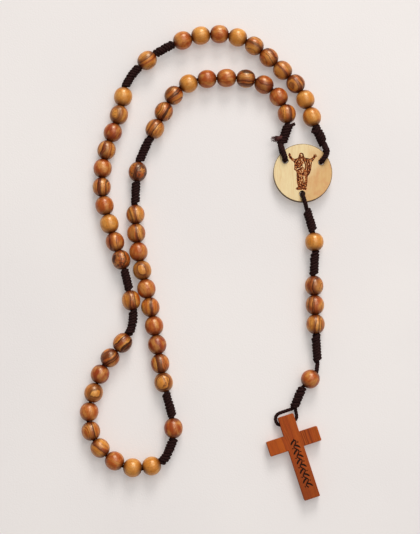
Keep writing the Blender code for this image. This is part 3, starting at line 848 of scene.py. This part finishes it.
def pendant_stretches():
    """The pendant cord's path from behind the medal to the cross, and the path of each of its knots."""
    middle = medal_middle()
    hole = middle + np.array((*medal_holes()["bottom"], 0.0))
    knots = [lifted(knot) for knot in PENDANT_KNOTS]
    knots[0][0][2] = middle[2] + KNOT_LIFT
    knots[3][1][2] = CROSS_THICKNESS / 2 + KNOT_LIFT
    outward = knots[0][0] - hole
    outward[2] = 0.0
    reach = float(np.linalg.norm(outward))
    outward /= reach
    lift = np.array((0.0, 0.0, strand_height()))
    over = lift * (1 + (BARE_CORD_RADIUS - CORD_RADIUS) / strand_height())
    aside = np.array((0.5, 0.2, 0.0))
    path = [
        knots[0][0] + outward * 0.6 - lift * 0.2,
        hole + outward * (reach - 1.9) - lift + aside,
        hole + outward * 0.9 - lift,
        hole + outward * 0.1 - lift * 0.75,
        hole,
        hole + outward * 0.1 + over * 0.75,
        hole + outward * 0.9 + over,
        hole + outward * (reach - 2.2) + over,
        knots[0][0],
    ]
    bend = np.array((*BEND_START, BEAD_RADIUS))
    stretches = (
        [knots[0], "pendant_upper_bead", knots[1]]
        + [f"pendant_hail_mary_bead_{k}" for k in (1, 2, 3)]
        + [knots[2], [bend], "pendant_lower_bead", knots[3]]
    )
    for stretch in stretches:
        if isinstance(stretch, str):
            place, axis = turning_place(stretch)
            path += [place - axis * 3.8, place + axis * 3.8]
        else:
            path += stretch
    ring = by_cross([(across, -down, CROSS_THICKNESS / 2) for across, down in CROSS_RING])
    path = rounded(np.vstack([path, ring]), 0.5, 0.25)
    return path, [rounded(knot) for knot in knots]


def bare_cord_width(path, stretches):
    """The cord's radius along a path: it swells where nothing squeezes it, between start and end places."""
    width = np.full(len(path), CORD_RADIUS)
    for start, end in stretches:
        first, last = (int(np.argmin(np.linalg.norm(path - place, axis=1))) for place in (start, end))
        width[first:last] = BARE_CORD_RADIUS
    for _ in range(4):
        width[1:-1] = (width[:-2] + width[1:-1] + width[2:]) / 3
    return width


def build_pendant_cord(look):
    path, knots = pendant_stretches()
    strands = Strands()
    hole = medal_middle() + np.array((*medal_holes()["bottom"], 0.0))
    lower = turning_place("pendant_lower_bead")[0]
    width = bare_cord_width(path, ((hole, knots[0][0]), (knots[2][-1], lower)))
    strands.tube(path, width, CORD_PLIES, CORD_LAY, sides=15)
    cord = strands.piece("pendant_cord_twisted", look)
    on_it = []
    for number, knot in enumerate(knots, start=1):
        body = "pendant_upper" if number < 4 else "pendant_lower"
        on_it.append(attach(build_knot(f"pendant_knot_{number}", knot, look, 20 + number), body))
    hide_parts("pendant_cord_upper", "pendant_cord_lower")
    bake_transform(cord)
    return cord, path, on_it


# Plates: the medal and the cross


def inset(outline, distance):
    """The closed outline moved inwards (it runs anticlockwise)."""
    outline = np.asarray(outline, float)
    edge = np.roll(outline, -1, axis=0) - outline
    edge /= np.linalg.norm(edge, axis=1)[:, None]
    normal = np.stack([-edge[:, 1], edge[:, 0]], axis=1)
    before = np.roll(normal, 1, axis=0)
    share = 1 + (normal * before).sum(axis=1)[:, None]
    return outline + distance * (normal + before) / share


def circle(middle, radius, sides, clockwise=False):
    angles = np.linspace(0.0, TURN, sides, endpoint=False)
    if clockwise:
        angles = -angles
    return np.asarray(middle) + radius * np.stack([np.cos(angles), np.sin(angles)], axis=1)


def edge_steps(thickness, rounding):
    """(inset, height) steps from the top face round a rounded edge to the bottom face."""
    hold = 0.12
    steps = [(rounding + hold, thickness)]
    for k in range(4):
        angle = math.radians(90 - 30 * k)
        steps.append((rounding * (1 - math.cos(angle)), thickness - rounding * (1 - math.sin(angle))))
    steps.append((0.0, thickness - rounding - hold))
    return steps + [(across, thickness - height) for across, height in reversed(steps)]


def engraved_plate(name, outline, holes, thickness, rounding, patch, step, depth, field):
    """A plate whose top face has a fine net inside the patch, sunk by the engraving there.

    Returns the object's points and faces and how much each point is burned."""
    bm = bmesh.new()
    steps = edge_steps(thickness, rounding)
    caps = [[], []]
    for closed in [outline, *holes]:
        rings = []
        for across, height in steps:
            rings.append([bm.verts.new((*place, height)) for place in inset(closed, across)])
        for upper, lower in zip(rings, rings[1:]):
            for k in range(len(upper)):
                after = (k + 1) % len(upper)
                bm.faces.new((upper[k], lower[k], lower[after], upper[after]))
        for cap, ring in zip(caps, (rings[0], rings[-1])):
            cap += [bm.edges.get((a, b)) for a, b in zip(ring, ring[1:] + ring[:1])]
    left, low, right, high = patch
    columns = np.linspace(left, right, int((right - left) / step) + 1)
    rows = np.linspace(low, high, int((high - low) / step) + 1)
    x, y = np.meshgrid(columns, rows)
    burn_and_end_shade = field(x, y)
    margin = np.minimum(np.minimum(x - left, right - x), np.minimum(y - low, high - y))
    burn_and_end_shade = burn_and_end_shade * np.clip(margin / (2 * step), 0.0, 1.0)
    net = [
        [bm.verts.new((x[r, c], y[r, c], thickness - depth * burn_and_end_shade[r, c])) for c in range(len(columns))]
        for r in range(len(rows))
    ]
    for r in range(len(rows) - 1):
        for c in range(len(columns) - 1):
            bm.faces.new((net[r][c], net[r][c + 1], net[r + 1][c + 1], net[r + 1][c]))
    rim = net[0][:-1] + [row[-1] for row in net[:-1]] + net[-1][:0:-1] + [row[0] for row in net[:0:-1]]
    caps[0] += [bm.edges.get((a, b)) for a, b in zip(rim, rim[1:] + rim[:1])]
    for cap, facing in zip(caps, (1, -1)):
        made = bmesh.ops.triangle_fill(bm, edges=cap, use_beauty=True, normal=(0, 0, facing))
        for face in (item for item in made["geom"] if isinstance(item, bmesh.types.BMFace)):
            if face.normal.z * facing < 0:
                face.normal_flip()
    bm.verts.index_update()
    points = np.array([v.co for v in bm.verts])
    faces = [tuple(v.index for v in face.verts) for face in bm.faces]
    burned = np.zeros(len(points))
    for r in range(len(rows)):
        for c in range(len(columns)):
            burned[net[r][c].index] = burn_and_end_shade[r, c]
    bm.free()
    return points, faces, burned


def drawing(strokes):
    """How dark a drawing of (tone, width, points) strokes is at places x, y; later strokes cover earlier."""

    def field(x, y):
        dark = np.zeros(x.shape)
        for tone, width, points in strokes:
            far = np.full(x.shape, 99.0)
            for (ax, ay), (bx, by) in zip(points, points[1:]):
                dx, dy = bx - ax, by - ay
                share = np.clip(((x - ax) * dx + (y - ay) * dy) / max(dx * dx + dy * dy, 1e-9), 0.0, 1.0)
                far = np.minimum(far, np.hypot(x - ax - share * dx, y - ay - share * dy))
            cover = np.clip((width / 2 - far) / 0.09 + 0.5, 0.0, 1.0)
            dark = dark * (1 - cover) + tone * cover
        return dark

    return field


def curve_points(points, steps=5):
    """A smooth line through a few points in a plane."""
    return [tuple(p[:2]) for p in smooth_route([(x, y, 0.0) for x, y in points], steps)]


# A robed figure with raised arms: areas first, then light folds, then dark lines.
# Each stroke is (tone, width, points), in millimetres from the medal's middle.
ROBE_AREAS = (
    (0.50, 3.0, ((-0.9, 5.0), (-1.1, 3.2), (-0.9, 1.0))),
    (0.48, 3.1, ((-0.8, 1.0), (-0.8, -2.0), (-0.6, -5.2))),
    (0.52, 1.1, ((-0.6, 5.6), (-2.2, 5.5), (-3.6, 5.3), (-4.6, 6.0), (-5.4, 6.8))),
    (0.52, 1.2, ((-0.4, 5.6), (1.6, 5.4), (3.2, 5.3), (4.2, 5.9), (4.9, 6.7))),
    (0.58, 1.7, ((2.2, 4.9), (2.5, 2.8), (2.1, 0.6))),
    (0.58, 1.0, ((2.4, 1.2), (2.1, -0.3), (1.7, -1.0))),
    (0.50, 1.2, ((-2.6, 4.8), (-2.7, 3.2), (-2.6, 1.9))),
    (0.55, 0.9, ((-2.3, -7.1), (-0.8, -6.8), (0.9, -7.1))),
    (0.50, 1.2, ((-1.9, -6.9), (-0.4, -6.9), (1.1, -6.9))),
    (0.50, 1.0, ((1.2, 1.4), (1.4, 0.0), (1.2, -0.8))),
    (0.45, 0.9, ((1.2, -0.8), (1.2, -3.4), (1.0, -5.8))),
    (0.95, 1.9, ((-0.55, 7.75), (-0.55, 7.3))),
    (0.95, 0.8, ((-1.15, 7.6), (-1.4, 6.8), (-1.6, 6.3))),
    (0.95, 0.8, ((0.05, 7.6), (0.25, 6.8), (0.5, 6.3))),
)
LIGHT_FOLDS = (
    (0.04, 0.84, ((-0.55, 7.8), (-0.55, 7.25))),
    (0.20, 0.36, ((-0.45, 5.9), (-0.3, 5.2))),
    (0.04, 0.80, ((0.35, 3.5), (0.45, 2.6))),
    (0.08, 0.36, ((-2.6, 1.6), (-1.4, 2.0), (-0.2, 2.9))),
    (0.12, 0.30, ((0.0, 2.0), (0.1, 1.0), (-0.4, 0.0))),
    (0.06, 0.62, ((0.4, -1.6), (0.7, -3.0), (0.6, -4.2))),
    (0.14, 0.30, ((-0.4, -0.6), (-0.9, -1.4), (-1.4, -1.8))),
    (0.14, 0.26, ((-1.5, -2.4), (-1.3, -3.6), (-0.9, -4.8))),
    (0.14, 0.24, ((-0.3, -3.2), (-0.5, -4.8), (-0.8, -6.0))),
    (0.16, 0.26, ((-2.6, 4.4), (-1.9, 3.6), (-1.5, 3.0))),
    (0.16, 0.24, ((-2.4, 5.4), (-1.6, 5.0), (-1.2, 4.2))),
    (0.16, 0.24, ((1.7, 4.4), (2.3, 3.7), (2.9, 3.4))),
    (0.16, 0.24, ((1.6, 2.4), (2.2, 1.7), (2.6, 1.2))),
    (0.12, 0.26, ((-5.0, 6.6), (-4.3, 5.8), (-3.7, 5.4))),
    (0.12, 0.26, ((4.6, 6.4), (4.0, 5.8), (3.2, 5.4))),
)
DARK_LINES = (
    (1.0, 0.38, ((-1.5, 6.5), (-2.4, 6.1), (-3.4, 5.8), (-4.3, 6.1), (-5.0, 6.8), (-5.6, 7.4))),
    (1.0, 0.41, ((-5.3, 6.5), (-4.6, 5.6), (-3.8, 4.9), (-3.4, 4.2), (-3.4, 3.0), (-3.5, 1.5))),
    (1.0, 0.41, ((-3.5, 1.5), (-2.8, 1.0), (-2.5, 0.2), (-2.45, -1.6), (-2.35, -4.0), (-1.9, -5.9))),
    (1.0, 0.38, ((0.7, 6.5), (1.7, 6.2), (2.9, 6.0), (3.8, 6.0), (4.6, 6.6), (5.0, 7.0))),
    (1.0, 0.41, ((5.1, 6.5), (4.5, 5.6), (3.8, 4.7), (3.6, 3.6), (3.4, 2.0), (3.1, 0.5), (2.5, -0.7))),
    (1.0, 0.41, ((2.5, -0.7), (2.0, -1.3), (1.8, -2.0), (1.75, -3.2), (1.65, -4.6), (1.4, -6.0))),
    (1.0, 0.49, ((0.7, 5.6), (0.9, 4.4), (1.2, 3.2), (1.1, 1.8), (0.6, 0.4), (-0.1, -0.7))),
    (1.0, 0.46, ((1.5, 5.6), (1.9, 4.4), (1.8, 2.8), (2.1, 1.4), (1.8, 0.0))),
    (1.0, 0.41, ((2.5, 5.2), (3.0, 3.6), (2.8, 1.8), (2.6, 0.6))),
    (1.0, 0.43, ((-1.2, 5.8), (-1.1, 4.7), (-0.7, 3.9), (-0.3, 3.2))),
    (1.0, 0.46, ((-2.0, 5.5), (-2.5, 4.4), (-2.2, 3.4), (-1.5, 2.8))),
    (1.0, 0.46, ((-3.0, 3.8), (-2.4, 2.6), (-1.4, 2.4), (-0.6, 3.1))),
    (1.0, 0.41, ((-2.9, 1.0), (-1.8, 1.3), (-0.9, 2.0), (0.1, 2.2))),
    (1.0, 0.41, ((-1.9, 0.6), (-1.3, -0.2), (-0.7, -0.6), (0.3, -0.9))),
    (1.0, 0.41, ((-2.0, -0.8), (-1.8, -2.6), (-1.7, -4.4))),
    (1.0, 0.35, ((-1.1, -1.8), (-1.0, -3.2), (-0.6, -4.6), (-0.6, -5.8))),
    (1.0, 0.41, ((0.0, -1.2), (0.0, -2.8), (0.1, -4.2), (0.0, -5.9))),
    (1.0, 0.35, ((0.9, -3.6), (0.7, -4.9), (0.5, -6.0))),
    (1.0, 0.49, ((-2.0, -5.9), (-1.2, -6.2), (-0.4, -6.0), (0.4, -6.3), (1.1, -6.0))),
    (1.0, 0.41, ((-2.9, -7.0), (-2.3, -6.5), (-1.6, -6.9), (-1.0, -7.2))),
    (1.0, 0.41, ((-1.0, -7.3), (-0.4, -6.8), (0.3, -7.3), (1.0, -6.7), (1.1, -7.4))),
    (1.0, 0.75, ((-5.2, 6.9), (-5.6, 7.5))),
    (1.0, 0.30, ((-5.6, 7.4), (-6.15, 7.6))),
    (1.0, 0.30, ((-5.6, 7.5), (-6.1, 8.15))),
    (1.0, 0.30, ((-5.6, 7.6), (-5.75, 8.5))),
    (1.0, 0.30, ((-5.4, 7.6), (-5.25, 8.2))),
    (1.0, 0.75, ((4.7, 6.7), (5.2, 7.1))),
    (1.0, 0.30, ((5.2, 7.0), (6.1, 7.2))),
    (1.0, 0.30, ((5.2, 7.1), (5.9, 7.8))),
    (1.0, 0.30, ((5.2, 7.2), (5.4, 8.1))),
    (1.0, 0.30, ((5.0, 7.2), (4.85, 7.8))),
)
HAIR_AND_FACE = (
    (1.0, 0.36, ((-1.1, 6.4), (-1.34, 7.1), (-1.25, 7.9), (-0.95, 8.35), (-0.55, 8.5))),
    (1.0, 0.36, ((0.0, 6.4), (0.24, 7.1), (0.15, 7.9), (-0.15, 8.35), (-0.55, 8.5))),
    (0.95, 0.26, ((-0.94, 7.3), (-0.85, 6.95), (-0.55, 6.72), (-0.25, 6.95), (-0.16, 7.3))),
    (0.8, 0.10, ((-0.86, 7.73), (-0.70, 7.77))),
    (0.8, 0.10, ((-0.40, 7.77), (-0.24, 7.73))),
    (0.9, 0.11, ((-0.79, 7.61), (-0.69, 7.61))),
    (0.9, 0.11, ((-0.41, 7.61), (-0.31, 7.61))),
    (0.5, 0.09, ((-0.55, 7.58), (-0.55, 7.34))),
    (0.8, 0.10, ((-0.66, 7.17), (-0.44, 7.17))),
)


def medal_figure():
    strokes = list(ROBE_AREAS) + list(LIGHT_FOLDS)
    strokes += [(tone, width, curve_points(points)) for tone, width, points in DARK_LINES + HAIR_AND_FACE]
    return drawing(strokes)


def build_medal(look):
    low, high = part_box("medal")
    radius = (high.x - low.x) / MM / 2
    thickness = (high.z - low.z) / MM
    outline = circle((0.0, 0.0), radius, MEDAL_SIDES)
    holes = [circle(place, HOLE_RADIUS, 40, clockwise=True) for place in medal_holes().values()]
    points, faces, burned = engraved_plate(
        "medal", outline, holes, thickness, MEDAL_ROUNDING, FIGURE_PATCH, FIGURE_STEP, FIGURE_DEPTH, medal_figure()
    )
    grain = points - np.array((0.0, 0.0, thickness / 2))
    world = grain + medal_middle()
    made = add_piece("medal_engraved", world, faces, look, {"grain": grain, "burn_and_end_shade": burned}, sharp=50.0)
    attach(made, "medal")
    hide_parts("medal")
    return made


def cross_outline():
    """The cross's outline, anticlockwise, with its outer corners rounded."""
    side, arm, half_span = UPRIGHT_WIDTH / 2, ARM_WIDTH / 2, CROSS_SPAN / 2
    upper, lower = -ARM_DEPTH + arm, -ARM_DEPTH - arm
    corners = [
        (side, 0.0, 45.0), (-side, 0.0, 135.0), (-side, upper, None), (-half_span, upper, 135.0),
        (-half_span, lower, 225.0), (-side, lower, None), (-side, -CROSS_HEIGHT, 225.0),
        (side, -CROSS_HEIGHT, 315.0), (side, lower, None), (half_span, lower, 315.0),
        (half_span, upper, 45.0), (side, upper, None),
    ]
    outline = []
    for x, y, facing in corners:
        if facing is None:
            outline.append((x, y))
            continue
        turn = math.radians(facing)
        middle_x = x - math.copysign(CROSS_CORNER, math.cos(turn))
        middle_y = y - math.copysign(CROSS_CORNER, math.sin(turn))
        for k in range(5):
            angle = math.radians(facing - 45 + 22.5 * k)
            outline.append((middle_x + CROSS_CORNER * math.cos(angle), middle_y + CROSS_CORNER * math.sin(angle)))
    return outline


def ornament():
    """A generic vine down the upright: a wavy stem with a leaf and a berry in each bend."""
    top, bottom, wave, swing = -10.6, -31.4, 4.16, 0.75
    strokes = []
    places = np.arange(0.0, top - bottom + 0.01, 0.35)
    stem = [(swing * math.sin(TURN * d / wave), top - d) for d in places]
    strokes.append((1.0, 0.42, stem))
    for k in range(10):
        down = (k + 0.5) * wave / 2
        side = 1 if k % 2 == 0 else -1
        y = top - down
        leaf = [(-side * 0.15, y + 0.55), (-side * 0.8, y + 0.25), (-side * 1.35, y - 0.35)]
        strokes.append((1.0, 0.68, leaf))
        strokes.append((1.0, 0.40, [(-side * 1.35, y - 0.35), (-side * 1.65, y - 0.75)]))
        strokes.append((1.0, 0.5, [(side * 1.4, y - 0.45), (side * 1.42, y - 0.4)]))
    return drawing(strokes)


def build_cross(look):
    points, faces, burned = engraved_plate(
        "cross", cross_outline(), [], CROSS_THICKNESS, CROSS_ROUNDING, ORNAMENT_PATCH, ORNAMENT_STEP,
        ORNAMENT_DEPTH, ornament(),
    )
    solid = add_piece("cross_solid", by_cross(points), faces, look, {"grain": points, "burn_and_end_shade": burned}, sharp=50.0)
    bm = bmesh.new()
    bmesh.ops.create_cone(
        bm, cap_ends=True, segments=32, radius1=CROSS_HOLE_RADIUS, radius2=CROSS_HOLE_RADIUS, depth=2 * UPRIGHT_WIDTH,
        matrix=Matrix.Translation((0.0, -CROSS_HOLE_DEPTH, CROSS_THICKNESS / 2)) @ Matrix.Rotation(math.pi / 2, 4, "Y"),
    )
    hole_points = np.array([v.co for v in bm.verts])
    hole_faces = [tuple(v.index for v in face.verts) for face in bm.faces]
    bm.free()
    shade = {"grain": hole_points, "burn_and_end_shade": np.full(len(hole_points), 0.6)}
    drill = add_piece("cross_drill", by_cross(hole_points), hole_faces, look, shade)
    step = solid.modifiers.new("cord_hole", "BOOLEAN")
    step.operation = "DIFFERENCE"
    step.solver = "EXACT"
    step.object = drill
    shaped = bpy.data.meshes.new_from_object(solid.evaluated_get(bpy.context.evaluated_depsgraph_get()))
    made = bpy.data.objects.new("cross_engraved", shaped)
    bpy.context.scene.collection.objects.link(made)
    bpy.data.objects.remove(solid)
    bpy.data.objects.remove(drill)
    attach(made, "cross")
    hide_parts("cross")
    return made


# Camera, lights and floor


def build_camera():
    """Looks down on the rosary from a little before it."""
    distance, elevation = 550.0, math.radians(84.0)
    target = Vector((1.2, -3.4, 0.0)) * MM
    back = Vector((0.0, -math.cos(elevation), math.sin(elevation)))
    data = bpy.data.cameras.new("camera")
    data.lens = 86.0
    data.sensor_width = 36.0
    data.clip_start = 0.01
    camera = bpy.data.objects.new("camera", data)
    camera.location = target + back * distance * MM
    camera.rotation_mode = "QUATERNION"
    camera.rotation_quaternion = (-back).to_track_quat("-Z", "Y")
    bpy.context.scene.collection.objects.link(camera)
    bpy.context.scene.camera = camera


def add_light(name, place, size, power, tint):
    data = bpy.data.lights.new(name, "AREA")
    data.shape = "DISK"
    data.size = size * MM
    data.energy = power
    data.color = tint
    light = bpy.data.objects.new(name, data)
    light.location = Vector(place) * MM
    light.rotation_mode = "QUATERNION"
    light.rotation_quaternion = light.location.to_track_quat("Z", "Y")
    bpy.context.scene.collection.objects.link(light)


def build_studio():
    add_light("key_light", (260.0, 380.0, 950.0), 800.0, 3.5, (1.0, 0.985, 0.96))
    add_light("window_light", (300.0, 2030.0, 1435.0), 1060.0, 27.6, (1.0, 0.99, 0.98))
    add_light("fill_light", (480.0, -180.0, 900.0), 1300.0, 1.6, (0.97, 0.98, 1.0))
    world = bpy.data.worlds.new("studio")
    world.use_nodes = True
    world.node_tree.nodes["Background"].inputs["Color"].default_value = (1.0, 0.99, 0.985, 1.0)
    world.node_tree.nodes["Background"].inputs["Strength"].default_value = 0.23
    bpy.context.scene.world = world
    bpy.context.scene.view_settings.view_transform = "Standard"
    bpy.context.scene.view_settings.look = "Medium High Contrast"
    bm = bmesh.new()
    bmesh.ops.create_grid(bm, x_segments=1, y_segments=1, size=4.0)
    mesh = bpy.data.meshes.new("floor")
    bm.to_mesh(mesh)
    bm.free()
    mesh.materials.append(floor_cloth())
    floor = bpy.data.objects.new("floor", mesh)
    bpy.context.scene.collection.objects.link(floor)


def build():
    build_camera()
    fibre = cord_fibre()
    loop, loop_path, loop_pieces = build_loop_cord(fibre)
    pendant, pendant_path, pendant_pieces = build_pendant_cord(fibre)
    loop_pieces += [build_hanger(side, fibre) for side in ("left", "right")]
    build_beads(bead_wood())
    build_medal(medal_wood())
    build_cross(cross_wood())
    build_studio()


build()
